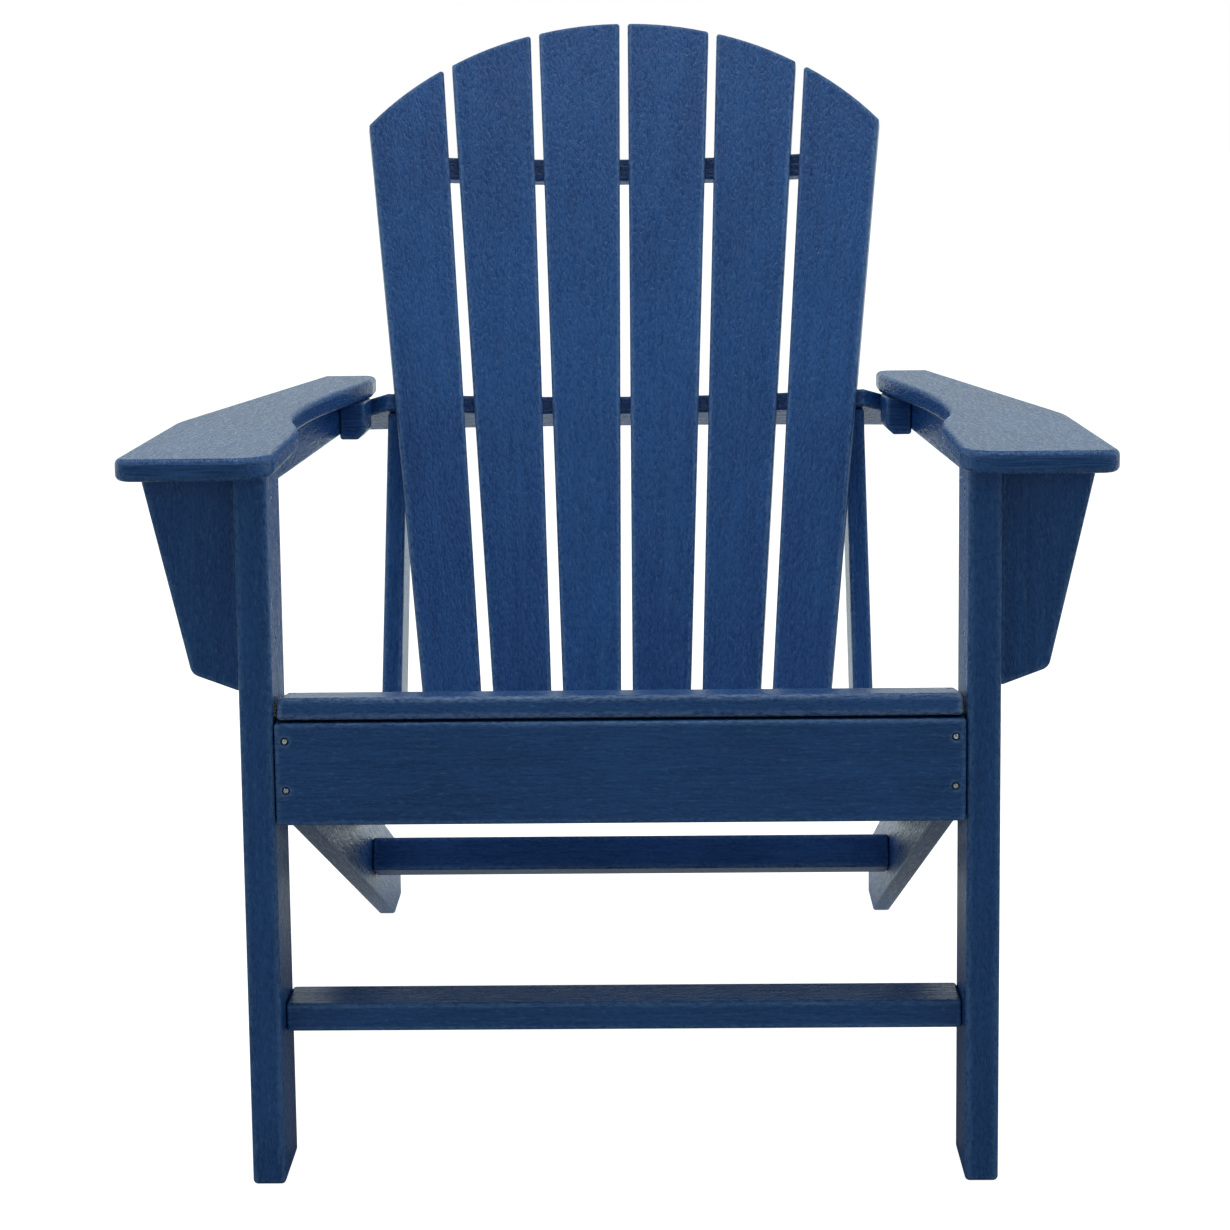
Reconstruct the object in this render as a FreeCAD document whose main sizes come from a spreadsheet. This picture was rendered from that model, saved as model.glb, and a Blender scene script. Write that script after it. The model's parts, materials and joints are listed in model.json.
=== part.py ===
import FreeCAD
import Part
import Sketcher
import math
import os

# Slatted garden armchair with a fan back, built from solid plastic boards and steel screws.
# Frame: +Z up, the sitter looks along -Y, +X and "right" are to the right of someone facing the chair.
# Origin: on the floor, under the middle of the chair's overall width and length.

doc = FreeCAD.newDocument("fan_back_chair")
sheet = doc.addObject("Spreadsheet::Sheet", "Sizes")

DRIVING_SIZES = {
    # front legs
    "leg_spread": 608.0,
    "leg_thick": 27.0,
    "leg_depth": 76.0,
    "leg_height": 586.0,
    "leg_round": 4.0,
    # thin boards
    "board_thick": 18.0,
    "board_round": 3.0,
    "fit_gap": 0.5,
    # arms
    "arm_thick": 18.0,
    "arm_round": 5.0,
    "arm_overhang": 38.0,
    "arm_length": 630.0,
    "arm_front_reach": 88.0,
    "arm_knee_reach": 80.0,
    "arm_knee_back": 248.0,
    "arm_back_inset": 3.0,
    "arm_back_wide": 53.0,
    "arm_inset": 8.0,
    "arm_nose_radius": 30.0,
    "arm_tip_radius": 16.0,
    "arm_heel_radius": 14.0,
    "arm_knee_radius": 160.0,
    "scoop_depth": 18.0,
    "scoop_start": 158.0,
    "scoop_run": 142.0,
    "scoop_lip_radius": 320.0,
    "flare_ease": 0.874,
    "arm_heel_long": 45.0,
    # brackets outside the legs
    "bracket_thick": 25.0,
    "bracket_setback": 18.0,
    "bracket_reach": 77.0,
    "bracket_drop": 179.0,
    "bracket_foot": 40.0,
    "bracket_rise": 15.0,
    "bracket_corner": 10.0,
    # rails and blocks under the arms
    "rail_height": 33.5,
    "rail_toe": 3.5,
    "rail_thick": 18.0,
    "rail_end_inset": 6.0,
    "rail_screw_ahead": 10.0,
    "block_wide": 25.0,
    "block_high": 37.0,
    "block_long": 42.0,
    "block_ahead": 32.0,
    "block_chamfer": 7.5,
    # seat frame
    "stringer_thick": 18.0,
    "stringer_drop": 77.5,
    "stringer_end": 827.0,
    "stringer_end_high": 58.0,
    "foot_front": 756.0,
    "foot_radius": 8.0,
    "apron_height": 84.0,
    "front_stretcher_wide": 48.0,
    "front_stretcher_high": 23.5,
    "front_stretcher_base": 120.5,
    "front_stretcher_front": 27.0,
    "rear_stretcher_wide": 45.0,
    "rear_stretcher_high": 33.0,
    "rear_stretcher_along": 541.0,
    "rear_stretcher_drop": 30.6,
    # seat boards
    "seat_height": 387.6,
    "seat_lead": 1.0,
    "seat_tilt": 8.0,
    "nose_board_wide": 61.5,
    "seat_board_inset": 2.5,
    "seat_board_gap": 8.0,
    "seat_board_round": 4.0,
    # back
    "recline": 25.0,
    "back_ahead": 32.0,
    "back_above": 14.0,
    "back_curve": 1700.0,
    "slat_thick": 19.0,
    "slat_gap": 9.5,
    "slat_taper": 0.0395,
    "back_side_gap": 15.5,
    "pitch_growth": 0.0359,
    "slat_tail": 6.0,
    "arch_crown": 387.7,
    "arch_shoulder": 269.0,
    "housing": 0.5,
    "upper_brace_at": 220.5,
    "upper_brace_high": 24.0,
    "upper_brace_deep": 14.0,
    "upper_brace_end": 9.3,
    "arm_brace_clear": 1.02,
    "arm_brace_deep": 70.0,
    "arm_brace_waist": 42.0,
    "arm_brace_cut": 40.0,
    "arm_brace_cut_long": 38.0,
    "brace_screw_inset": 12.0,
    "brace_screw_back": 6.0,
    "lower_brace_drop": 9.2,
    "lower_brace_deep": 70.0,
    "upright_deep": 64.0,
    "upright_inset": 24.5,
    "upright_thick": 19.0,
    "upright_gap": 2.6,
    # screws
    "screw_diameter": 4.2,
    "screw_head": 6.4,
    "head_gap": 0.4,
    "screw_rim": 0.4,
    "screw_taper": 2.0,
    "screw_point": 5.0,
    "screw_clearance": 0.05,
    "drive_square": 2.4,
    "drive_deep": 1.8,
    "short_screw": 30.0,
    "middle_screw": 38.0,
    "long_screw": 46.0,
    "stretcher_screw": 60.0,
    "apron_screw_drop": 14.7,
    "apron_screw_pitch": 40.5,
    "bracket_screw_drop": 23.0,
    "bracket_screw_foot": 40.0,
    "leg_screw_back": 58.0,
    "leg_screw_drop": 32.0,
    "leg_screw_pitch": 34.0,
    "board_screw_inset": 14.0,
    "pocket_angle": 30.0,
    "pocket_back": 22.0,
    "pocket_sink": 8.0,
}

SIDES = (-1, 1)
SLAT_STEPS = (-2.5, -1.5, -0.5, 0.5, 1.5, 2.5)
SEAT_BOARDS = 6

for row, (alias, number) in enumerate(DRIVING_SIZES.items(), start=1):
    sheet.set("A%d" % row, alias)
    sheet.set("B%d" % row, str(number))
    sheet.setAlias("B%d" % row, alias)
doc.recompute()


class Size:
    """A length or angle: its value, and the spreadsheet formula that gives it."""

    def __init__(self, value, text):
        self.value = value
        self.text = text

    def __add__(self, other):
        other = as_size(other)
        return Size(self.value + other.value, "(%s + %s)" % (self.text, other.text))

    def __sub__(self, other):
        other = as_size(other)
        return Size(self.value - other.value, "(%s - %s)" % (self.text, other.text))

    def __mul__(self, other):
        other = as_size(other)
        return Size(self.value * other.value, "(%s * %s)" % (self.text, other.text))

    def __truediv__(self, other):
        other = as_size(other)
        return Size(self.value / other.value, "(%s / %s)" % (self.text, other.text))

    def __neg__(self):
        return self * -1


def as_size(number):
    return number if isinstance(number, Size) else Size(float(number), "(%r)" % float(number))


def root(number):
    return Size(math.sqrt(number.value), "sqrt(%s)" % number.text)


def arc_tangent(number):
    return Size(math.degrees(math.atan(number.value)), "(atan(%s) / 1 deg)" % number.text)


def sine(angle):
    return Size(math.sin(math.radians(angle.value)), "sin(%s)" % angle.text)


def cosine(angle):
    return Size(math.cos(math.radians(angle.value)), "cos(%s)" % angle.text)


def tangent(angle):
    return sine(angle) / cosine(angle)


def size(alias):
    return Size(float(sheet.get(alias)), "Sizes.%s" % alias)


# ---------------------------------------------------------------- board making

def plane(body, role):
    return [feature for feature in body.Origin.OriginFeatures if feature.Role == role][0]


def pin(sketch, edge, end, x, y):
    """Fix one end of a sketch edge at (x, y), both bound to the sheet."""
    for kind, place in (("DistanceX", x), ("DistanceY", y)):
        index = sketch.addConstraint(Sketcher.Constraint(kind, -1, 1, edge, end, place.value))
        sketch.setExpression("Constraints[%d]" % index, place.text)


def draw_outline(sketch, corners):
    """Closed outline through the corners; a corner may carry the radius of an arc to the next one.

    A positive radius bulges to the right of the way along the outline, a negative one to the left.
    """
    for index, corner in enumerate(corners):
        following = corners[(index + 1) % len(corners)]
        start = FreeCAD.Vector(corner[0].value, corner[1].value, 0)
        finish = FreeCAD.Vector(following[0].value, following[1].value, 0)
        if len(corner) == 2:
            edge = sketch.addGeometry(Part.LineSegment(start, finish), False)
            start_end, finish_end = 1, 2
        else:
            radius = corner[2]
            edge = sketch.addGeometry(arc_between(start, finish, radius.value), False)
            start_end, finish_end = (1, 2) if radius.value > 0 else (2, 1)
            steady = radius if radius.value > 0 else -radius
            bound = sketch.addConstraint(Sketcher.Constraint("Radius", edge, steady.value))
            sketch.setExpression("Constraints[%d]" % bound, steady.text)
        pin(sketch, edge, start_end, corner[0], corner[1])
        pin(sketch, edge, finish_end, following[0], following[1])


def arc_between(start, finish, radius):
    """Arc of a circle from start to finish, counter-clockwise when the radius is positive."""
    half = (finish - start).multiply(0.5)
    left = FreeCAD.Vector(-half.y, half.x, 0).normalize()
    rise = math.sqrt(radius ** 2 - half.Length ** 2)
    centre = start + half + left.multiply(rise if radius > 0 else -rise)
    first, last = (start, finish) if radius > 0 else (finish, start)
    begin = math.atan2(first.y - centre.y, first.x - centre.x)
    end = math.atan2(last.y - centre.y, last.x - centre.x)
    circle = Part.Circle(centre, FreeCAD.Vector(0, 0, 1), abs(radius))
    return Part.ArcOfCircle(circle, begin, end)


def upright_edges(shape, places, depth):
    """Names of the edges that stand on the given (x, y) corners."""
    names = []
    for number, edge in enumerate(shape.Edges, start=1):
        ends = [vertex.Point for vertex in edge.Vertexes]
        if len(ends) != 2 or abs(abs(ends[0].z - ends[1].z) - depth) > 1e-4:
            continue
        for x, y in places:
            if math.hypot(ends[0].x - x.value, ends[0].y - y.value) < 1e-3:
                names.append("Edge%d" % number)
    return names


def rim_edges(shape, depth):
    """Names of the edges that lie in the two broad faces of a board."""
    names = []
    for number, edge in enumerate(shape.Edges, start=1):
        box = edge.BoundBox
        if box.ZLength < 1e-4 and min(abs(box.ZMin), abs(box.ZMin - depth)) < 1e-4:
            names.append("Edge%d" % number)
    return names


def make_board(name, corners, thick, edge_round, rounded=()):
    """One machined board: an outline padded by its thickness, then its edges eased.

    rounded lists (corner, radius) for the corners of the outline that are turned to a larger radius.
    """
    body = doc.addObject("PartDesign::Body", name + "_blank")
    sketch = body.newObject("Sketcher::SketchObject", name + "_outline")
    sketch.AttachmentSupport = [(plane(body, "XY_Plane"), "")]
    sketch.MapMode = "FlatFace"
    draw_outline(sketch, corners)
    pad = body.newObject("PartDesign::Pad", name + "_pad")
    pad.Profile = sketch
    pad.Length = thick.value
    pad.setExpression("Length", thick.text)
    doc.recompute()
    latest = pad
    for number, (corner, radius) in enumerate(rounded):
        turn = body.newObject("PartDesign::Fillet", "%s_turn_%d" % (name, number))
        turn.Base = (latest, upright_edges(latest.Shape, [corner], thick.value))
        turn.Radius = radius.value
        turn.setExpression("Radius", radius.text)
        doc.recompute()
        latest = turn
    plain = [corner[:2] for corner in corners if corner[:2] not in [place for place, _ in rounded]]
    sharp = sharp_corners(corners, plain)
    ease = body.newObject("PartDesign::Fillet", name + "_ease")
    edges = rim_edges(latest.Shape, thick.value) + upright_edges(latest.Shape, sharp, thick.value)
    ease.Base = (latest, edges)
    ease.Radius = edge_round.value
    ease.setExpression("Radius", edge_round.text)
    body.Tip = ease
    doc.recompute()
    return body


def sharp_corners(corners, candidates):
    """Corners of the outline where the way along it really turns."""
    kept = []
    for index, corner in enumerate(corners):
        before = corners[index - 1]
        after = corners[(index + 1) % len(corners)]
        turn = heading(corner, after, len(corner) > 2, 0, corner) - heading(
            before, corner, len(before) > 2, 1, before)
        turn = abs((turn + 180.0) % 360.0 - 180.0)
        if turn > 4.0 and corner[:2] in candidates:
            kept.append(corner[:2])
    return kept


def heading(start, finish, is_arc, at_finish, holder):
    """Direction of an outline edge in degrees, at its start or at its finish."""
    across = finish[0].value - start[0].value
    along = finish[1].value - start[1].value
    direction = math.degrees(math.atan2(along, across))
    if is_arc:
        swing = math.degrees(math.asin(math.hypot(across, along) / 2 / holder[2].value))
        direction += swing if at_finish else -swing
    return direction


def matrix_placement(origin, x_axis, y_axis, z_axis):
    matrix = FreeCAD.Matrix(
        x_axis.x, y_axis.x, z_axis.x, origin.x,
        x_axis.y, y_axis.y, z_axis.y, origin.y,
        x_axis.z, y_axis.z, z_axis.z, origin.z,
        0, 0, 0, 1)
    return FreeCAD.Placement(matrix)


def vector(x, y, z):
    return FreeCAD.Vector(x, y, z)


X_AXIS = vector(1, 0, 0)
Y_AXIS = vector(0, 1, 0)
Z_AXIS = vector(0, 0, 1)
chair_middle = (size("stringer_end") - size("arm_overhang")) / 2


def spot(x, y, z):
    """Point at x, at a distance y behind the front faces of the legs, at height z."""
    return vector(x, y - chair_middle.value, z)


# ------------------------------------------------------------------- screws

screw_rows = []
boards = []
ZERO = as_size(0)
ONE = as_size(1)


def screw_outline(length, growth, head_growth, above):
    """Half section of a countersunk screw, or of its hole: the head face at 0, the point upward."""
    shank = size("screw_diameter") / 2 + growth
    head = size("screw_head") / 2 + head_growth
    rim = size("screw_rim")
    tip = length + growth
    return [
        (ZERO, -above),
        (head, -above),
        (head, rim),
        (shank, rim + size("screw_taper")),
        (shank, tip - size("screw_point")),
        (ZERO, tip),
    ]


def turned_body(name, corners):
    """A solid turned about Z from half of its section."""
    body = doc.addObject("PartDesign::Body", name)
    sketch = body.newObject("Sketcher::SketchObject", name + "_section")
    sketch.AttachmentSupport = [(plane(body, "XZ_Plane"), "")]
    sketch.MapMode = "FlatFace"
    draw_outline(sketch, corners)
    turned = body.newObject("PartDesign::Revolution", name + "_turned")
    turned.Profile = sketch
    turned.ReferenceAxis = (sketch, ["V_Axis"])
    turned.Angle = 360
    body.Tip = turned
    doc.recompute()
    return body


def screw_body(name, length):
    """One screw with a square drive recess in its head."""
    body = turned_body(name, screw_outline(length, ZERO, ZERO, ZERO))
    solid_volume = body.Shape.Volume
    drive = body.newObject("Sketcher::SketchObject", name + "_drive")
    drive.AttachmentSupport = [(plane(body, "XY_Plane"), "")]
    drive.MapMode = "FlatFace"
    half_drive = size("drive_square") / 2
    draw_outline(drive, [
        (-half_drive, -half_drive),
        (half_drive, -half_drive),
        (half_drive, half_drive),
        (-half_drive, half_drive),
    ])
    recess = body.newObject("PartDesign::Pocket", name + "_recess")
    recess.Profile = drive
    recess.Length = size("drive_deep").value
    recess.setExpression("Length", size("drive_deep").text)
    recess.Reversed = True
    body.Tip = recess
    doc.recompute()
    if body.Shape.Volume >= solid_volume:
        raise ValueError("the drive recess of %s cuts nothing" % name)
    return body


made_once = {}


def make_once(name, maker, *sizes):
    if name not in made_once:
        made_once[name] = maker(name, *sizes)
    return made_once[name]


def placed_copy(body, head, direction):
    """A copy of a screw or of its hole, its head at a point and its shank along a direction."""
    copy = body.Shape.copy()
    copy.Placement = FreeCAD.Placement(head, FreeCAD.Rotation(Z_AXIS, direction))
    return copy


def add_screws(name, kind, places, sink=ZERO):
    """A row of like screws. places lists the surface point and the direction of each.

    A screw in a sloping pocket sits below the surface by sink, measured along the screw.
    """
    length = size(kind)
    screw = make_once(kind, screw_body, length)
    growth = size("screw_clearance")
    above = sink * 2 if sink.value else size("screw_rim")
    hole_name = "%s_%s" % (kind, "pocket" if sink.value else "hole")
    hole = make_once(hole_name, turned_body, screw_outline(length, growth, size("head_gap"), above))
    screws = []
    holes = []
    for surface, direction in places:
        head = surface + direction * sink.value
        screws.append(placed_copy(screw, head, direction))
        holes.append(placed_copy(hole, head, direction))
    screw_rows.append((name, screws, holes))


def keep(name, body, housed=()):
    """Register a board. It is notched for the boards housed in it and drilled for its screws."""
    boards.append((name, body, list(housed)))


# --------------------------------------------------------------------- legs

leg_out = size("leg_spread") / 2
leg_thick = size("leg_thick")
leg_in = leg_out - leg_thick
leg_depth = size("leg_depth")
leg_top = size("leg_height")


def rectangle(wide, high):
    return [(ZERO, ZERO), (wide, ZERO), (wide, high), (ZERO, high)]


for side, word in zip(SIDES, ("left", "right")):
    leg = make_board("leg_" + word, rectangle(leg_thick, leg_depth), leg_top, size("leg_round"))
    start = leg_in.value if side > 0 else -leg_out.value
    leg.Placement = FreeCAD.Placement(spot(start, 0, 0), FreeCAD.Rotation())
    keep("front_leg_" + word, leg)

# Brackets: boards on the outer side of each leg that carry the wide front of the arm.
reach = size("bracket_reach")
drop = size("bracket_drop")
bracket_thick = size("bracket_thick")
bracket_front = size("bracket_setback")
bracket_corners = [
    (ZERO, ZERO),
    (ZERO, -drop),
    (size("bracket_foot"), size("bracket_rise") - drop),
    (reach, ZERO),
]
bracket_screws = []
for side, word in zip(SIDES, ("left", "right")):
    bracket = make_board(
        "bracket_" + word, bracket_corners, bracket_thick, size("board_round"),
        [(bracket_corners[2], size("bracket_corner"))])
    back = bracket_front + bracket_thick
    if side > 0:
        origin = spot(leg_out.value, back.value, leg_top.value)
        bracket.Placement = matrix_placement(origin, X_AXIS, Z_AXIS, -Y_AXIS)
    else:
        origin = spot(-leg_out.value, bracket_front.value, leg_top.value)
        bracket.Placement = matrix_placement(origin, -X_AXIS, Z_AXIS, Y_AXIS)
    keep("arm_bracket_" + word, bracket)
    for below in (size("bracket_screw_drop"), drop - size("bracket_screw_foot")):
        middle = bracket_front + bracket_thick / 2
        head = spot(side * leg_in.value, middle.value, leg_top.value - below.value)
        bracket_screws.append((head, X_AXIS * side))
add_screws("bracket_screws", "long_screw", bracket_screws)

# --------------------------------------------------------------------- arms

# The outline is drawn with x outward and y toward the back, from the front edge of the arm.
# Its inner edge runs straight, swings out in a scoop, then runs inward to the back of the chair.
arm_thick = size("arm_thick")
arm_in = leg_in - size("arm_inset")
scoop_front = size("scoop_start")
scoop_run = size("scoop_run")
scoop_depth = size("scoop_depth")
scoop_low = scoop_front + scoop_run
scoop_out = arm_in + scoop_depth
scoop_radii = (scoop_run * scoop_run + scoop_depth * scoop_depth) / (scoop_depth * 2)
lip_radius = size("scoop_lip_radius")
bowl_radius = scoop_radii - lip_radius
lip_share = lip_radius / scoop_radii
arm_back_out = leg_out - size("arm_back_inset")
arm_back_in = arm_back_out - size("arm_back_wide")
arm_length = size("arm_length")
flare_end = arm_length - size("arm_heel_long")
flare_gap = scoop_out - arm_back_in
flare_length = flare_end - scoop_low
flare_radius = (flare_length * flare_length / flare_gap + flare_gap) / 2 * size("flare_ease")
flare_width = flare_radius * 2 - flare_gap
flare_root = root(flare_length * flare_length - flare_gap * flare_width)
flare = arc_tangent((flare_length - flare_root) / flare_width) * 2
arm_corners = [
    (arm_in, ZERO),
    (leg_out + size("arm_front_reach"), ZERO),
    (leg_out + size("arm_knee_reach"), size("arm_knee_back")),
    (arm_back_out, arm_length),
    (arm_back_in, arm_length),
    (arm_back_in, flare_end),
    (
        scoop_out - flare_radius * (ONE - cosine(flare)),
        scoop_low + flare_radius * sine(flare),
        -flare_radius),
    (scoop_out, scoop_low, -bowl_radius),
    (arm_in + scoop_depth * lip_share, scoop_front + scoop_run * lip_share, lip_radius),
    (arm_in, scoop_front),
]
arm_turns = [
    (arm_corners[0], size("arm_nose_radius")),
    (arm_corners[1], size("arm_tip_radius")),
    (arm_corners[2], size("arm_knee_radius")),
    (arm_corners[4], size("arm_heel_radius")),
]
arm_top = leg_top + arm_thick
arm_start = -size("arm_overhang")
for side, word in zip(SIDES, ("left", "right")):
    arm = make_board("arm_" + word, arm_corners, arm_thick, size("arm_round"), arm_turns)
    if side > 0:
        arm.Placement = FreeCAD.Placement(spot(0, arm_start.value, leg_top.value), FreeCAD.Rotation())
    else:
        arm.Placement = matrix_placement(spot(0, arm_start.value, arm_top.value), -X_AXIS, Y_AXIS, -Z_AXIS)
    keep("armrest_" + word, arm)

# Rails on edge under the arms. Each starts behind the bracket, on the outer side of the leg,
# and toes in toward the back. The arms are screwed on from below, so their tops are clean.
rail_start = bracket_front + bracket_thick
rail_finish = arm_length - size("arm_overhang") - size("rail_end_inset")
toe_angle = size("rail_toe")
toe = math.radians(toe_angle.value)
rail_length = (rail_finish - rail_start) / cosine(toe_angle)
rail_thick = size("rail_thick")
rail_high = size("rail_height")
toe_cut = rail_thick * tangent(toe_angle)
rail_inner = leg_out + size("fit_gap") + (leg_depth - rail_start) * tangent(toe_angle)


def rail_point(side, along, out, below):
    """Point of a rail: along it from its front, outward from its inner face, below its top."""
    x = rail_inner.value - along * math.sin(toe) + out * math.cos(toe)
    y = rail_start.value + along * math.cos(toe) + out * math.sin(toe)
    return spot(side * x, y, leg_top.value - below)


rail_corners = [
    (ZERO, ZERO),
    (rail_length, ZERO),
    (rail_length - toe_cut, rail_thick),
    (-toe_cut, rail_thick),
]
RAIL_SCREW_SHARES = (0.25, 0.55, 0.85)
arm_screws = []
rail_screws = []
for side, word in zip(SIDES, ("left", "right")):
    out = vector(side * math.cos(toe), math.sin(toe), 0)
    back = vector(-side * math.sin(toe), math.cos(toe), 0)
    rail = make_board("rail_" + word, rail_corners, rail_high, size("board_round"))
    if side > 0:
        rail.Placement = matrix_placement(rail_point(side, 0, 0, 0), back, out, -Z_AXIS)
    else:
        rail.Placement = matrix_placement(rail_point(side, 0, 0, rail_high.value), back, out, Z_AXIS)
    keep("arm_rail_" + word, rail)
    for share in RAIL_SCREW_SHARES:
        along = rail_length.value * share
        surface = rail_point(side, along, rail_thick.value / 2, rail_high.value)
        arm_screws.append((surface, Z_AXIS))
    surface = spot(
        side * leg_in.value, leg_depth.value - size("rail_screw_ahead").value,
        leg_top.value - rail_high.value / 2)
    rail_screws.append((surface, X_AXIS * side))
add_screws("rail_screws", "middle_screw", rail_screws)

# Blocks in the corner between each rail and the arm, just ahead of the back brace.
block_wide = size("block_wide")
block_high = size("block_high")
block_long = size("block_long")
cut = size("block_chamfer")
block_front = rail_length - size("block_ahead") - block_long
block_corners = [
    (ZERO, ZERO),
    (ZERO, -block_high),
    (block_wide - cut, -block_high),
    (block_wide, cut - block_high),
    (block_wide, ZERO),
]
for side, word in zip(SIDES, ("left", "right")):
    out = vector(side * math.cos(toe), math.sin(toe), 0)
    back = vector(-side * math.sin(toe), math.cos(toe), 0)
    near = rail_point(side, block_front.value, 0, 0)
    block = make_board("block_" + word, block_corners, block_long, size("board_round"))
    if side > 0:
        block.Placement = matrix_placement(near, -out, Z_AXIS, back)
    else:
        block.Placement = matrix_placement(near + back * block_long.value, -out, Z_AXIS, -back)
    keep("arm_block_" + word, block)
    surface = rail_point(
        side, (block_front + block_long / 2).value, -((block_wide - cut) / 2).value, block_high.value)
    arm_screws.append((surface, Z_AXIS))
add_screws("armrest_screws", "long_screw", arm_screws)

# --------------------------------------------------------------- seat frame

board_thick = size("board_thick")
seat_under = size("seat_height")
seat_tilt = size("seat_tilt")
nose_wide = size("nose_board_wide")
lead = size("seat_lead")
tilt_end = (lead + nose_wide * cosine(seat_tilt), seat_under - nose_wide * sine(seat_tilt))
seat_fall = arc_tangent(
    (tilt_end[1] - size("stringer_end_high")) / (size("stringer_end") - tilt_end[0]))
fall = math.radians(seat_fall.value)
apron_top = seat_under - (board_thick - lead) * tangent(seat_tilt)
stringer_corners = [
    (board_thick, apron_top - size("stringer_drop")),
    (size("foot_front"), ZERO),
    (size("stringer_end"), ZERO),
    (size("stringer_end"), size("stringer_end_high")),
    tilt_end,
    (board_thick, apron_top),
]
stringer_thick = size("stringer_thick")
stringer_in = leg_in - stringer_thick
stringer_middle = stringer_in + stringer_thick / 2
leg_screws = []
apron_screws = []
for side, word in zip(SIDES, ("left", "right")):
    stringer = make_board(
        "stringer_" + word, stringer_corners, stringer_thick, size("board_round"),
        [(stringer_corners[1], size("foot_radius"))])
    start = stringer_in.value if side > 0 else -leg_in.value
    stringer.Placement = matrix_placement(spot(start, 0, 0), Y_AXIS, Z_AXIS, X_AXIS)
    keep("seat_stringer_" + word, stringer)
    for step in (0, 1):
        low = apron_top - size("leg_screw_drop") - size("leg_screw_pitch") * step
        surface = spot(side * leg_out.value, size("leg_screw_back").value, low.value)
        leg_screws.append((surface, X_AXIS * -side))
        low = apron_top - size("apron_screw_drop") - size("apron_screw_pitch") * step
        apron_screws.append((spot(side * stringer_middle.value, 0, low.value), Y_AXIS))
add_screws("leg_screws", "middle_screw", leg_screws)
add_screws("apron_screws", "middle_screw", apron_screws)

inside = leg_in * 2
apron_long = inside - size("fit_gap") * 2
apron_high = size("apron_height")
apron = make_board("apron", rectangle(apron_long, apron_high), board_thick, size("board_round"))
apron.Placement = matrix_placement(
    spot(-apron_long.value / 2, board_thick.value, (apron_top - apron_high).value),
    X_AXIS, Z_AXIS, -Y_AXIS)
keep("front_apron", apron)

# Stretchers: a flat one between the front legs, a tilted one between the rear ends of the stringers.
front_wide = size("front_stretcher_wide")
front_high = size("front_stretcher_high")
front_place = size("front_stretcher_front")
front_base = size("front_stretcher_base")
front_stretcher = make_board(
    "front_stretcher_bar", rectangle(inside, front_wide), front_high, size("board_round"))
front_stretcher.Placement = FreeCAD.Placement(
    spot(-leg_in.value, front_place.value, front_base.value), FreeCAD.Rotation())
keep("front_stretcher", front_stretcher)

down_slope = vector(0, math.cos(fall), -math.sin(fall))
off_slope = vector(0, math.sin(fall), math.cos(fall))
slope_start = spot(0, tilt_end[0].value, tilt_end[1].value)
rear_wide = size("rear_stretcher_wide")
rear_high = size("rear_stretcher_high")
rear_top = slope_start + down_slope * size("rear_stretcher_along").value
rear_base = rear_top - off_slope * (size("rear_stretcher_drop") + rear_high).value
rear_stretcher = make_board(
    "rear_stretcher_bar", rectangle(stringer_in * 2, rear_wide), rear_high, size("board_round"))
rear_stretcher.Placement = matrix_placement(
    rear_base - X_AXIS * stringer_in.value, X_AXIS, down_slope, off_slope)
keep("rear_stretcher", rear_stretcher)

STRETCHER_SCREW_SHARES = (0.25, 0.75)
front_screws = []
rear_screws = []
for side in SIDES:
    for share in STRETCHER_SCREW_SHARES:
        surface = spot(
            side * leg_out.value, (front_place + front_wide * share).value,
            (front_base + front_high / 2).value)
        front_screws.append((surface, X_AXIS * -side))
        surface = rear_base + down_slope * (rear_wide * share).value + off_slope * (rear_high / 2).value
        rear_screws.append((surface + X_AXIS * (side * leg_in.value), X_AXIS * -side))
add_screws("front_stretcher_screws", "stretcher_screw", front_screws)
add_screws("rear_stretcher_screws", "long_screw", rear_screws)

# ---------------------------------------------------------------- back frame

# Back directions: u across, v up along the reclined slats, w out of their front faces to the sitter.
# The front faces of the slats touch a cylinder that runs along v, so the back is gently dished.
recline_angle = size("recline")
recline = math.radians(recline_angle.value)
u_axis = X_AXIS
v_axis = vector(0, math.sin(recline), math.cos(recline))
w_axis = vector(0, -math.cos(recline), math.sin(recline))
back_place = arm_length - size("arm_overhang") - size("back_ahead")
back_level = leg_top + size("back_above")
back_origin = spot(0, back_place.value, back_level.value)
back_curve = size("back_curve")
slat_thick = size("slat_thick")
slat_pitch = (arm_back_in - size("back_side_gap")) * 2 / len(SLAT_STEPS)
slat_width = slat_pitch - size("slat_gap")


def back_point(u, v, w):
    return back_origin + u_axis * u + v_axis * v + w_axis * w


def dish(u):
    """How far the dished back stands forward of its middle at a distance u to the side."""
    return back_curve - root(back_curve * back_curve - u * u)


# --------------------------------------------------------------- seat boards

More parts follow.
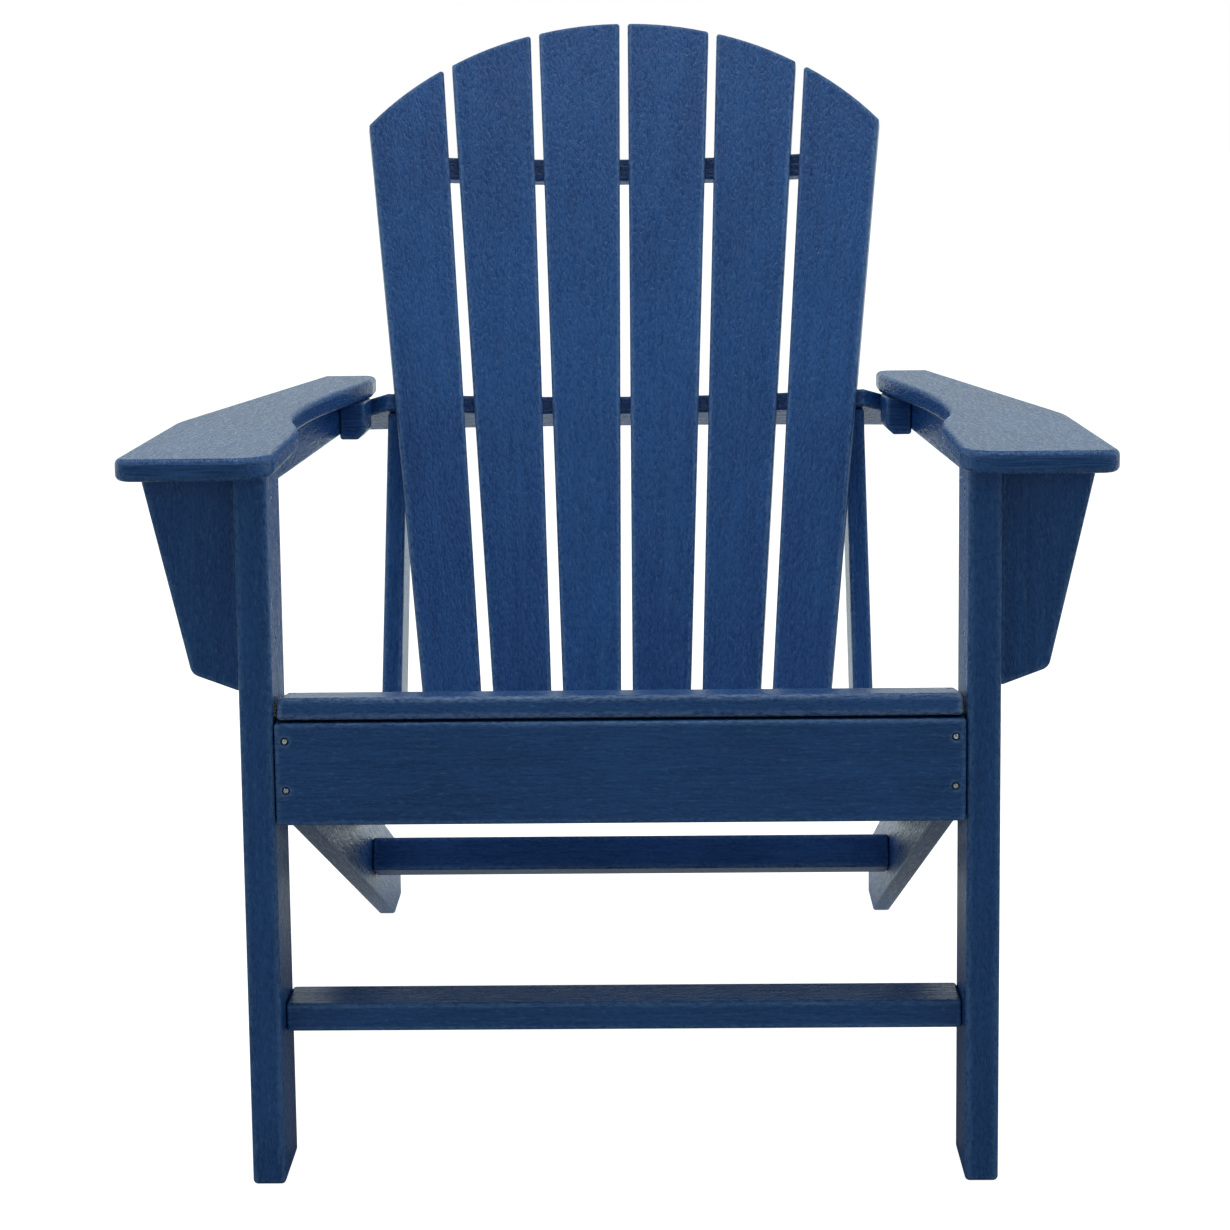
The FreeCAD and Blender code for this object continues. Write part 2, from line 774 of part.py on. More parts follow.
# The first board follows the front clip of the stringers. The others share the slope behind it,
# up to the front of the back slats.
seat_gap = size("seat_board_gap")
back_clear = dish(slat_pitch * 3)
nose_back = (
    (back_place - tilt_end[0] - board_thick * sine(seat_fall)) * cosine(recline_angle)
    + (tilt_end[1] + board_thick * cosine(seat_fall) - back_level) * sine(recline_angle))
seat_run = (nose_back - back_clear) / cosine(seat_fall - recline_angle)
board_wide = seat_run / (SEAT_BOARDS - 1) - seat_gap
board_long = (leg_in - size("seat_board_inset")) * 2
seat_screws = []
for number in range(SEAT_BOARDS):
    wide = board_wide if number else nose_wide
    if number == 0:
        angle = math.radians(seat_tilt.value)
        start = spot(0, lead.value, seat_under.value)
    else:
        angle = fall
        start = slope_start + down_slope * (seat_gap * number + board_wide * (number - 1)).value
    along = vector(0, math.cos(angle), -math.sin(angle))
    up = vector(0, math.sin(angle), math.cos(angle))
    name = "seat_slat_%d" % (number + 1)
    seat_board = make_board(
        name + "_board", rectangle(board_long, wide), board_thick, size("seat_board_round"))
    seat_board.Placement = matrix_placement(start - X_AXIS * (board_long.value / 2), X_AXIS, along, up)
    keep(name, seat_board)
    inset = size("board_screw_inset")
    for side in SIDES:
        for place in (inset, wide - inset) if number else (wide - inset,):
            surface = start + along * place.value + up * board_thick.value
            seat_screws.append((surface + X_AXIS * (side * stringer_middle.value), -up))
add_screws("seat_slat_screws", "middle_screw", seat_screws)

# ---------------------------------------------------------------- back slats


def slat_turn(step):
    """Angle by which a slat faces inward on the dished back."""
    return math.asin(step * slat_pitch.value / back_curve.value)


def slat_edge(step, side, height):
    """Local x of a slat's middle, or of its left or right edge, at a height along it."""
    middle = size("pitch_growth") * step * height
    return middle + (slat_width + size("slat_taper") * height) * (0.5 * side)


arch_crown = size("arch_crown")
arch_shoulder = size("arch_shoulder")
arch_rise = arch_crown - arch_shoulder
arch_half = slat_pitch * SLAT_STEPS[-1] + slat_edge(SLAT_STEPS[-1], 1, arch_shoulder)
arch_radius = (arch_half * arch_half + arch_rise * arch_rise) / (arch_rise * 2)


def arch_meets(step, side):
    """Where the arch across the top of the back crosses one long edge of a slat."""
    slope = size("pitch_growth") * step + size("slat_taper") * (0.5 * side)
    offset = slat_width * (0.5 * side) + slat_pitch * step
    rise = arch_crown - arch_radius
    squared = ONE + slope * slope
    middle = rise - slope * offset
    rest = offset * offset + rise * rise - arch_radius * arch_radius
    height = (middle + root(middle * middle - squared * rest)) / squared
    return slat_edge(step, side, height), height


# The slats run down past the seat and end just below the lower brace, which lies between the stringers.
seat_crossing = (tilt_end[1] - back_level - (back_place - tilt_end[0]) * tangent(seat_fall)) / (
    cosine(recline_angle) + sine(recline_angle) * tangent(seat_fall))
lower_at = seat_crossing - size("lower_brace_drop") - board_thick
slat_foot = lower_at - size("slat_tail")
slats = []
for number, step in enumerate(SLAT_STEPS, start=1):
    top_left = arch_meets(step, -1)
    top_right = arch_meets(step, 1)
    corners = [
        (slat_edge(step, -1, slat_foot), slat_foot),
        (slat_edge(step, 1, slat_foot), slat_foot),
        (top_right[0], top_right[1], arch_radius),
        top_left,
    ]
    name = "back_slat_%d" % number
    slat = make_board(name + "_board", corners, slat_thick, size("board_round"))
    turn = slat_turn(step)
    across = u_axis * math.cos(turn) + w_axis * math.sin(turn)
    outward = w_axis * math.cos(turn) - u_axis * math.sin(turn)
    touch = back_point(back_curve.value * math.sin(turn), 0, back_curve.value * (1 - math.cos(turn)))
    slat.Placement = matrix_placement(touch - outward * slat_thick.value, across, v_axis, outward)
    slats.append(slat)
    keep(name, slat)

# -------------------------------------------------------------------- braces

# The front edge of each brace follows the backs of the slats, which are housed slightly into it.
brace_radius = back_curve + slat_thick - size("housing")


def brace_edge(u):
    """Distance behind the front of the back at which a brace starts, at u to the side."""
    return root(brace_radius * brace_radius - u * u) - back_curve


def place_brace(brace, at):
    brace.Placement = matrix_placement(back_point(0, at, 0), u_axis, -w_axis, v_axis)


def slat_middle(step, v, behind):
    """Point behind the middle of a slat, at a height v and a distance behind the front of the back."""
    return back_point(slat_pitch.value * step + slat_edge(step, 0, as_size(v)).value, v, -behind)


def slat_outward(step):
    turn = slat_turn(step)
    return w_axis * math.cos(turn) - u_axis * math.sin(turn)


# Upper brace: a curved strip across the slats near their tops, screwed on from behind.
deep = size("upper_brace_deep")
upper_at = size("upper_brace_at")
half = slat_pitch * SLAT_STEPS[-1] + slat_edge(SLAT_STEPS[-1], 0, upper_at) + size("upper_brace_end")
edge = brace_edge(half)
upper_high = size("upper_brace_high")
upper_brace = make_board("upper_brace_strip", [
    (-half, edge, -brace_radius),
    (half, edge),
    (half, edge + deep, brace_radius),
    (-half, edge + deep),
], upper_high, size("board_round"))
place_brace(upper_brace, upper_at.value)
keep("upper_back_brace", upper_brace, slats)
level = (upper_at + upper_high / 2).value
upper_screws = []
for step in SLAT_STEPS:
    u = slat_middle(step, level, 0).x
    surface = slat_middle(step, level, (brace_edge(as_size(u)) + deep).value)
    upper_screws.append((surface, slat_outward(step)))
add_screws("upper_brace_screws", "short_screw", upper_screws)

# Arm-level brace: a waisted board whose ends lie between the rails, just under the ends of the arms.
fit = size("fit_gap")
brace_half = rail_inner - rail_length * sine(toe_angle) - fit
front_half = brace_half - size("arm_brace_cut_long")
front_edge = brace_edge(front_half)
end_front = front_edge + (brace_half - front_half) * tangent(size("arm_brace_cut"))
end_back = brace_edge(brace_half) + size("arm_brace_deep")
waist = size("housing") * -1 + slat_thick + size("arm_brace_waist")
waist_depth = end_back - waist
waist_radius = (brace_half * brace_half + waist_depth * waist_depth) / (waist_depth * 2)
arm_brace = make_board("arm_brace_board", [
    (-brace_half, end_front),
    (-front_half, front_edge, -brace_radius),
    (front_half, front_edge),
    (brace_half, end_front),
    (brace_half, end_back, -waist_radius),
    (-brace_half, end_back),
], board_thick, size("board_round"))
under_arm = front_edge + (arm_back_in - front_half) * tangent(size("arm_brace_cut"))
arm_brace_top = (under_arm * sine(recline_angle) - size("back_above") - size("arm_brace_clear")) / cosine(
    recline_angle)
arm_brace_at = arm_brace_top - board_thick
place_brace(arm_brace, arm_brace_at.value)
keep("arm_back_brace", arm_brace, slats)

# Lower brace: between the stringers, behind the feet of the slats.
lower_half = stringer_in
lower_edge = brace_edge(lower_half)
lower_back = slat_thick + size("lower_brace_deep")
lower_brace = make_board("lower_brace_board", [
    (-lower_half, lower_edge, -brace_radius),
    (lower_half, lower_edge),
    (lower_half, lower_back),
    (-lower_half, lower_back),
], board_thick, size("board_round"))
place_brace(lower_brace, lower_at.value)
keep("lower_back_brace", lower_brace, slats)

# Screws in sloping pockets draw the slats against the braces from below.
pocket = math.radians(size("pocket_angle").value)
for name, at in (("arm_brace_screws", arm_brace_at), ("lower_brace_screws", lower_at)):
    places = []
    for step in SLAT_STEPS:
        u = slat_middle(step, at.value, 0).x
        behind = brace_edge(as_size(u)) + size("pocket_back")
        direction = slat_outward(step) * math.cos(pocket) + v_axis * math.sin(pocket)
        places.append((slat_middle(step, at.value, behind.value), direction))
    add_screws(name, "short_screw", places, size("pocket_sink"))

# Uprights: boards on edge from the lower brace to the arm-level brace, just behind the outer slats.
upright_out = stringer_in - size("upright_inset")
upright_thick = size("upright_thick")
upright_deep = size("upright_deep")
upright_front = slat_thick + size("upright_gap") - dish(upright_out - upright_thick)
upright_foot = lower_at + board_thick
upright_long = arm_brace_at - upright_foot
UPRIGHT_SCREW_SHARES = (0.3, 0.72)
upright_screws = []
lower_end_screws = []
for side, word in zip(SIDES, ("left", "right")):
    upright = make_board(
        "upright_" + word, rectangle(upright_long, upright_deep), upright_thick, size("board_round"))
    inner = upright_out.value if side > 0 else upright_thick.value - upright_out.value
    origin = back_point(inner, upright_foot.value, -upright_front.value)
    upright.Placement = matrix_placement(origin, v_axis, -w_axis, -u_axis)
    keep("back_upright_" + word, upright)
    for share in UPRIGHT_SCREW_SHARES:
        behind = (upright_front + upright_deep * share).value
        middle = side * (upright_out - upright_thick / 2).value
        upright_screws.append((back_point(middle, (arm_brace_at + board_thick).value, -behind), -v_axis))
        upright_screws.append((back_point(middle, lower_at.value, -behind), v_axis))
        level = (lower_at + board_thick / 2).value
        behind = (lower_edge + (lower_back - lower_edge) * share).value
        end = back_point(side * leg_in.value, level, -behind)
        lower_end_screws.append((end, u_axis * -side))
add_screws("upright_screws", "long_screw", upright_screws)
add_screws("lower_brace_end_screws", "long_screw", lower_end_screws)

# One screw up through each end of the arm-level brace into the rear end of the arm.
end_screws = []
end_u = brace_half - size("brace_screw_inset")
end_w = front_edge + (end_u - front_half) * tangent(size("arm_brace_cut")) + size("brace_screw_back")
for side in SIDES:
    end_screws.append((back_point(side * end_u.value, arm_brace_at.value, -end_w.value), v_axis))
add_screws("arm_end_screws", "short_screw", end_screws)

# ------------------------------------------------------------ finished pieces

doc.recompute()
finished = []


def feature(label, shape):
    piece = doc.addObject("Part::Feature", label)
    piece.Shape = shape
    return piece


def cut_away(label, base, solids):
    """The base less a set of solids that do not touch each other."""
    tool = feature(label + "_tool", Part.makeCompound(solids))
    less = doc.addObject("Part::Cut", label)
    less.Base = base
    less.Tool = tool
    doc.recompute()
    return less


all_holes = [hole for _, _, holes in screw_rows for hole in holes]
for name, body, housed in boards:
    reached = []
    for hole in all_holes:
        if hole.BoundBox.intersect(body.Shape.BoundBox) and hole.common(body.Shape).Volume > 1.0:
            reached.append(hole)
    piece = body
    if housed:
        piece = cut_away(name + "_housed", piece, [other.Shape.copy() for other in housed])
    if reached:
        piece = cut_away(name + "_drilled", piece, reached)
    piece.Label = name
    finished.append(piece)
for name, screws, _ in screw_rows:
    piece = feature(name + "_row", Part.makeCompound(screws))
    piece.Label = name
    finished.append(piece)
doc.recompute()

for entry in doc.Objects:
    if "Invalid" in entry.State or "Error" in entry.State:
        raise ValueError("%s did not compute: %s" % (entry.Name, entry.State))
os.makedirs("parts", exist_ok=True)
for piece in finished:
    if piece.Shape.isNull() or not piece.Shape.isValid() or not piece.Shape.Solids:
        raise ValueError("%s has no valid solid" % piece.Label)
    piece.Shape.exportStep("parts/%s.step" % piece.Label)
print("%d pieces written" % len(finished))
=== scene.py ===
import json
import math

import bmesh
import bpy
from mathutils import Matrix, Vector

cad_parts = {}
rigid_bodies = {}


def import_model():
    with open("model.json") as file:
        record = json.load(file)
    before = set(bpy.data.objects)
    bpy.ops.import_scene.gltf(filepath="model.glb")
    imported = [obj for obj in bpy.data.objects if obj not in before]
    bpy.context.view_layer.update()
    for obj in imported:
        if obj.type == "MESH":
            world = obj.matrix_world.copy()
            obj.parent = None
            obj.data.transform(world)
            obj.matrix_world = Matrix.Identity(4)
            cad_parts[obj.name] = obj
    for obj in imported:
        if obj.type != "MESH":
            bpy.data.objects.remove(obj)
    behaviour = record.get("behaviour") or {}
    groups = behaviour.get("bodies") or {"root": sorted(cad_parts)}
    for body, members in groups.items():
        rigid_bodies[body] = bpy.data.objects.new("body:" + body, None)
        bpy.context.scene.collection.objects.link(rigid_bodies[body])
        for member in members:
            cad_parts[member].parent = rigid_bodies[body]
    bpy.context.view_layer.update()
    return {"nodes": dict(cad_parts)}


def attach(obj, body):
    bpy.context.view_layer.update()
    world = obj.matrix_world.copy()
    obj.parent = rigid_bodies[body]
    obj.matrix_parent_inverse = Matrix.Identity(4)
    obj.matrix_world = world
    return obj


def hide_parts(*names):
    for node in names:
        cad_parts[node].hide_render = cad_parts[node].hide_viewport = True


# An outdoor armchair with a sloping seat and a fan back. It is sawn and routed from solid
# plastic boards, coloured right through, and put together with stainless steel screws.

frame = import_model()

# ---------------------------------------------------------------- front legs
# Two uprights of the thickest stock, 27 mm, cut square and rounded on every edge with a router.
# The plastic is one dense blue all the way through, with a fine pebbled skin and a drawn grain
# along the board. Sawn ends are duller and show the strokes of the blade; the joints get painted shade.

X, Y, Z = Vector((1, 0, 0)), Vector((0, 1, 0)), Vector((0, 0, 1))
SIDES = ("left", "right")
BOARD_BLUE = (0.0080, 0.066, 0.245, 1)
BOARD_LIGHT = (0.027, 0.140, 0.440, 1)
BOARD_FLECK = (0.080, 0.215, 0.480, 1)
# Pale edge colour: partly wear, partly painted highlight on the rounded edges.
BOARD_WEAR_AND_HIGHLIGHT = (0.170, 0.330, 0.600, 1)
# Dark colour for painted shade in joints and near the floor.
BOARD_PAINTED_SHADE = (0.004, 0.018, 0.050, 1)
PATTERN_STEP = 1.7
PATTERN_DRIFT = (1, 0.37, 0.71)
SOME_GRAIN, MUCH_GRAIN = 0.35, 0.6

# How many marks there are in a metre along the board, across it and through it.
PEBBLES = (190, 430, 430)
GRAIN = (34, 360, 360)
STREAKS = (5, 120, 120)
CLOUD = (6, 11, 11)
FLECKS = (150, 460, 460)
SAW_MARKS = (30, 24, 620)

STREAK_TONE = 0.30
CLOUD_TONE = 0.25
FLECK_TONE = 0.55
STREAK_RELIEF = 0.22
RELIEF_DEEP = 0.0007
RELIEF_STRENGTH = 0.8
EDGE_REACH = 0.0045
JOINT_REACH = 0.0050
SHADE_SAMPLES = 6
SKIN_SMOOTH, SKIN_ROUGH, SAWN_ROUGH = 0.22, 0.38, 0.60
PLASTIC_IOR, PLASTIC_SHINE = 1.5, 0.42


def input_of(node, key):
    """The input with this name, where i0, i1 and so on mean the input in that place."""
    by_place = key[0] == "i" and key[1:].isdigit()
    return node.inputs[int(key[1:]) if by_place else key.replace("_", " ")]


def wire(tree, kind, settings=None, **inputs):
    """Add a node. Settings are its options; inputs are numbers, colours or other nodes' outputs."""
    node = tree.nodes.new(kind)
    for key, value in (settings or {}).items():
        setattr(node, key, value)
    for key, value in inputs.items():
        socket = input_of(node, key)
        if isinstance(value, bpy.types.NodeSocket):
            tree.links.new(value, socket)
        else:
            socket.default_value = value
    return node


def blank_material(name):
    material = bpy.data.materials.new(name)
    material.use_nodes = True
    material.node_tree.nodes.clear()
    return material, material.node_tree


def spread(tree, value, start, end, low=0.0, high=1.0):
    """Low where the value is at start or before it, high at end or past it, and even between."""
    return wire(tree, "ShaderNodeMapRange", Value=value, From_Min=start, From_Max=end,
                To_Min=low, To_Max=high).outputs[0]


def fade(tree, value, start, end, low=0.0, high=1.0):
    """The same as spread, but easing away from both ends."""
    return wire(tree, "ShaderNodeMapRange", {"interpolation_type": "SMOOTHSTEP"}, Value=value,
                From_Min=start, From_Max=end, To_Min=low, To_Max=high).outputs[0]


def stretched_noise(tree, place, scale, detail, low=0.36, high=0.64):
    """Noise stretched along the board, spread over the whole range from 0 to 1."""
    drawn = wire(tree, "ShaderNodeMapping", Vector=place, Scale=scale).outputs[0]
    noise = wire(tree, "ShaderNodeTexNoise", Vector=drawn, Scale=1.0, Detail=detail, Roughness=0.62)
    return spread(tree, noise.outputs[0], low, high)


def product(tree, first, second):
    return wire(tree, "ShaderNodeMath", {"operation": "MULTIPLY"}, i0=first, i1=second).outputs[0]


def blend(tree, share, first, second):
    return wire(tree, "ShaderNodeMix", {"data_type": "FLOAT"}, Factor=share, A=first, B=second).outputs[0]


def dye(tree, share, first, second):
    """A colour between two others."""
    return wire(tree, "ShaderNodeMix", {"data_type": "RGBA"}, Factor=share, i6=first, i7=second).outputs[2]


def board_finish(name, along, across, shift, drawn, edge_wear_and_highlight):
    """Blue plastic for one board: drawn is its share of grain, and the edge colour is wear and painted
    highlight.
    """
    material, tree = blank_material("board_" + name)
    along = Vector(along).normalized()
    deep = along.cross(Vector(across)).normalized()
    turn = Matrix((along, deep.cross(along), deep)).to_euler()
    place = wire(tree, "ShaderNodeTexCoord").outputs["Object"]
    own = wire(tree, "ShaderNodeMapping", {"vector_type": "POINT"}, Vector=place, Rotation=turn,
               Location=tuple(shift * part for part in PATTERN_DRIFT)).outputs[0]
    pebbles = stretched_noise(tree, own, PEBBLES, 2.0)
    grain = stretched_noise(tree, own, GRAIN, 3.0)
    streaks = stretched_noise(tree, own, STREAKS, 3.0)
    cloud = stretched_noise(tree, own, CLOUD, 2.0)
    flecks = stretched_noise(tree, own, FLECKS, 1.0, 0.60, 0.76)
    saw_marks = stretched_noise(tree, own, SAW_MARKS, 2.0)
    skin = blend(tree, drawn, pebbles, grain)

    # The sawn ends face along the board.
    facing = wire(tree, "ShaderNodeNewGeometry").outputs["True Normal"]
    end_share = wire(tree, "ShaderNodeVectorMath", {"operation": "DOT_PRODUCT"}, i0=facing, i1=along)
    end_share = wire(tree, "ShaderNodeMath", {"operation": "ABSOLUTE"}, i0=end_share.outputs["Value"])
    sawn = fade(tree, end_share.outputs[0], 0.86, 0.97)

    tone = blend(tree, STREAK_TONE, skin, streaks)
    tone = blend(tree, CLOUD_TONE, tone, cloud)
    tone = blend(tree, sawn, tone, saw_marks)
    colour = dye(tree, tone, BOARD_BLUE, BOARD_LIGHT)
    colour = dye(tree, product(tree, flecks, FLECK_TONE), colour, BOARD_FLECK)

    # Edges are paler where little of the board lies behind them: partly wear, partly painted highlight.
    backing = wire(tree, "ShaderNodeAmbientOcclusion",
                   {"samples": SHADE_SAMPLES, "inside": True, "only_local": True}, Distance=EDGE_REACH)
    edge = spread(tree, backing.outputs["AO"], 0.98, 0.80)
    wear_and_highlight_share = product(tree, edge, blend(tree, 0.6, streaks, pebbles))
    colour = dye(tree, wear_and_highlight_share, colour, edge_wear_and_highlight)

    # Painted shade: darker where little of the sky can be seen, in joints and where a board nears the
    # floor.
    opening = wire(tree, "ShaderNodeAmbientOcclusion", {"samples": SHADE_SAMPLES}, Distance=JOINT_REACH)
    colour = dye(tree, spread(tree, opening.outputs["AO"], 0.15, 0.75, 0.25), BOARD_PAINTED_SHADE, colour)

    relief = blend(tree, STREAK_RELIEF, skin, streaks)
    relief = blend(tree, sawn, relief, saw_marks)
    bump = wire(tree, "ShaderNodeBump", Strength=RELIEF_STRENGTH, Distance=RELIEF_DEEP, Height=relief)
    rough = blend(tree, sawn, spread(tree, skin, 0.0, 1.0, SKIN_SMOOTH, SKIN_ROUGH), SAWN_ROUGH)
    shader = wire(tree, "ShaderNodeBsdfPrincipled", Base_Color=colour, Roughness=rough,
                  Normal=bump.outputs[0], IOR=PLASTIC_IOR, Specular_IOR_Level=PLASTIC_SHINE)
    wire(tree, "ShaderNodeOutputMaterial", Surface=shader.outputs[0])
    return material


finished_boards = []


def finish_board(node, along, across, drawn=SOME_GRAIN, edge_wear_and_highlight=BOARD_WEAR_AND_HIGHLIGHT):
    """Give one board its own run of the stock, so that no two boards show the same pattern."""
    finished_boards.append(node)
    shift = PATTERN_STEP * len(finished_boards)
    surface = frame["nodes"][node].data
    for slot in range(len(surface.materials)):
        surface.materials[slot] = board_finish(node, along, across, shift, drawn, edge_wear_and_highlight)


for word in SIDES:
    finish_board("front_leg_" + word, Z, X)

# ------------------------------------------------- arm brackets and their screws
# A tapered board outside each leg carries the wide front of the arm. Two long countersunk screws
# come through the leg from its inner face. Every screw in the chair is turned stainless steel,
# with a square socket in its slightly domed head and a coarse cut thread.

HEAD_RADIUS = 0.0027
SHANK_RADIUS = 0.0021
THREAD_DEPTH = 0.00045
THREAD_PITCH = 0.0024
POINT_LONG = 0.0050
SOCKET_HALF = 0.0012
SOCKET_DEEP = 0.0018
ROUND = 16

# Height below the top of the head, and share of the head's radius, of the rings of its dome.
HEAD_DOME = ((0.00012, 0.58), (0.00035, 0.72), (0.00080, 0.86), (0.00140, 0.96), (0.00190, 0.97))
SOCKET_CHAMFER = 0.00015
NECK_DEEP = 0.0030
THREAD_FROM = 0.0036

# Share of the point's length still to come, and share of the shank's radius, of its rings.
POINT_RINGS = ((1, 0.85), (0.4, 0.40))
RIM_BAND = 0.0002
SHARP_FROM = math.radians(32)
THREAD_STEPS = 4
TWIST_STEP = 2.4

TURNING_MARKS = 9000.0
TURNING_DEEP = 0.00003
SMUDGES = 600.0
STEEL = (0.92, 0.92, 0.91, 1)
STEEL_DULL = (0.70, 0.70, 0.69, 1)

screw_steel, tree = blank_material("screw_steel")
turned = wire(tree, "ShaderNodeAttribute", {"attribute_name": "turning"}).outputs["Fac"]
rings = wire(tree, "ShaderNodeTexNoise", {"noise_dimensions": "1D"}, W=turned,
             Scale=TURNING_MARKS, Detail=2.0).outputs[0]
place = wire(tree, "ShaderNodeTexCoord").outputs["Object"]
smudge = wire(tree, "ShaderNodeTexNoise", Vector=place, Scale=SMUDGES, Detail=3.0).outputs[0]
tarnish = spread(tree, smudge, 0.40, 0.66)
metal = dye(tree, tarnish, STEEL, STEEL_DULL)
polish = spread(tree, tarnish, 0.0, 1.0, 0.12, 0.26)
marks = wire(tree, "ShaderNodeBump", Strength=0.4, Distance=TURNING_DEEP, Height=rings).outputs[0]
shader = wire(tree, "ShaderNodeBsdfPrincipled", Base_Color=metal, Roughness=polish, Normal=marks,
              Metallic=1.0)
wire(tree, "ShaderNodeOutputMaterial", Surface=shader.outputs[0])


def screw_places(node):
    """Head centre, direction and length of each screw in a CAD row, read from its solids."""
    solids = bmesh.new()
    solids.from_mesh(frame["nodes"][node].data)
    bmesh.ops.remove_doubles(solids, verts=solids.verts, dist=1e-6)
    waiting = set(solids.verts)
    places = []
    while waiting:
        solid, to_visit = set(), [waiting.pop()]
        while to_visit:
            vertex = to_visit.pop()
            solid.add(vertex)
            near = {edge.other_vert(vertex) for edge in vertex.link_edges} & waiting
            waiting -= near
            to_visit.extend(near)
        middle = sum((vertex.co for vertex in solid), Vector()) / len(solid)
        point = max((vertex.co for vertex in solid), key=lambda corner: (corner - middle).length)
        outward = (middle - point).normalized()
        reach = max((vertex.co - point).dot(outward) for vertex in solid)
        rim = [vertex.co for vertex in solid if (vertex.co - point).dot(outward) > reach - RIM_BAND]
        head = sum(rim, Vector()) / len(rim)
        places.append((head, (point - head).normalized(), (point - head).length))
    solids.free()
    return sorted(places, key=lambda screw: tuple(round(part, 4) for part in screw[0]))


def screw_rings(length):
    """Rings of a screw from its socket to its point: height, radius and form."""
    rings = [
        (SOCKET_DEEP, SOCKET_HALF * 0.86, "square"),
        (SOCKET_CHAMFER, SOCKET_HALF, "square"),
        (0, SOCKET_HALF * 1.12, "square"),
    ]
    rings += [(height, HEAD_RADIUS * share, "round") for height, share in HEAD_DOME]
    rings.append((NECK_DEEP, SHANK_RADIUS, "round"))
    height, finish = THREAD_FROM, length - POINT_LONG
    while height < finish:
        rings.append((height, SHANK_RADIUS, "thread"))
        height += THREAD_PITCH / THREAD_STEPS
    rings += [(length - POINT_LONG * left, SHANK_RADIUS * share, "round") for left, share in POINT_RINGS]
    return rings


def make_screw(built, turning, length, placing, twist):
    """One screw, built ring by ring from the floor of its socket to its point."""
    loops = []
    for height, radius, kind in screw_rings(length):
        loop = []
        for step in range(ROUND):
            angle = 2 * math.pi * step / ROUND
            reach = radius
            if kind == "square":
                reach = radius / max(abs(math.cos(angle)), abs(math.sin(angle)))
            elif kind == "thread":
                wave = (height / THREAD_PITCH + step / ROUND) % 1
                reach = radius - THREAD_DEPTH * (1 - abs(2 * wave - 1))
            local = Vector((reach * math.cos(angle + twist), reach * math.sin(angle + twist), height))
            vertex = built.verts.new(placing @ local)
            vertex[turning] = reach
            loop.append(vertex)
        loops.append(loop)
    socket_floor = built.verts.new(placing @ Vector((0, 0, SOCKET_DEEP * 1.15)))
    point = built.verts.new(placing @ Vector((0, 0, length)))
    for step in range(ROUND):
        after = (step + 1) % ROUND
        built.faces.new((socket_floor, loops[0][step], loops[0][after]))
        built.faces.new((point, loops[-1][after], loops[-1][step]))
        for upper, lower in zip(loops, loops[1:]):
            built.faces.new((upper[after], upper[step], lower[step], lower[after]))


def drive_screws(node):
    """All the screws of one row, each turned by a different amount as it was driven home."""
    built = bmesh.new()
    turning = built.verts.layers.float.new("turning")
    for number, (head, direction, length) in enumerate(screw_places(node)):
        stance = direction.to_track_quat("Z", "Y").to_matrix().to_4x4()
        twist = (number * TWIST_STEP) % (math.pi / 2)
        make_screw(built, turning, length, Matrix.Translation(head) @ stance, twist)
    bmesh.ops.recalc_face_normals(built, faces=built.faces)
    surface = bpy.data.meshes.new(node + "_turned")
    built.to_mesh(surface)
    built.free()
    surface.shade_smooth()
    surface.set_sharp_from_angle(angle=SHARP_FROM)
    surface.materials.append(screw_steel)
    row = bpy.data.objects.new(node + "_turned", surface)
    bpy.context.scene.collection.objects.link(row)
    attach(row, "root")
    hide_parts(node)


for word in SIDES:
    finish_board("arm_bracket_" + word, Z, X)
drive_screws("bracket_screws")

# ------------------------------------------------ arm rails, corner blocks and arms
# A narrow board on edge runs back under each arm from its bracket, with a small block in the
# corner near its rear end. The arms are wide flat boards cut to a curve, and they are screwed
# on from below through the rails and blocks, so that their tops stay clean.

for word in SIDES:
    finish_board("arm_rail_" + word, Y, Z, MUCH_GRAIN)
    finish_board("arm_block_" + word, Y, X)
    finish_board("armrest_" + word, Y, X)
drive_screws("rail_screws")
drive_screws("armrest_screws")

# ---------------------------------------------------------- stringers and apron
# Two long boards on edge carry the seat and run down behind as the rear legs. The apron closes
# them in front between the legs, and two screws in each of its ends hold it to them.

STRINGER_RUN = (0, 0.922, -0.387)
for word in SIDES:
    finish_board("seat_stringer_" + word, STRINGER_RUN, Z, MUCH_GRAIN)
finish_board("front_apron", X, Z, MUCH_GRAIN)
drive_screws("leg_screws")
drive_screws("apron_screws")

# --------------------------------------------------------------- stretchers
# A flat bar ties the front legs together near the floor, and a thicker bar lies across between
# the rear ends of the stringers. Both are screwed on through their ends.

finish_board("front_stretcher", X, Y, MUCH_GRAIN)
finish_board("rear_stretcher", X, Y, MUCH_GRAIN)
drive_screws("front_stretcher_screws")
drive_screws("rear_stretcher_screws")

# --------------------------------------------------------------- seat boards
# Six boards lie across the stringers with narrow gaps for rain. The first is tipped to make the
# front edge of the seat, and its rounding gets the palest painted highlight. Each is
# held down by screws near both its ends.

SEAT_BOARDS = 6
# A pale painted highlight on the rounding of the front seat board.
NOSE_PAINTED_HIGHLIGHT = (0.480, 0.640, 0.880, 1)
finish_board("seat_slat_1", X, Y, edge_wear_and_highlight=NOSE_PAINTED_HIGHLIGHT)
for number in range(2, SEAT_BOARDS + 1):
    finish_board("seat_slat_%d" % number, X, Y)
drive_screws("seat_slat_screws")

# --------------------------------------------------------------- back slats
# Six slats fan out from the seat and are cut along their tops to one arch. They lean back by
# 25 degrees and stand in a shallow curve, so that the back is slightly dished.

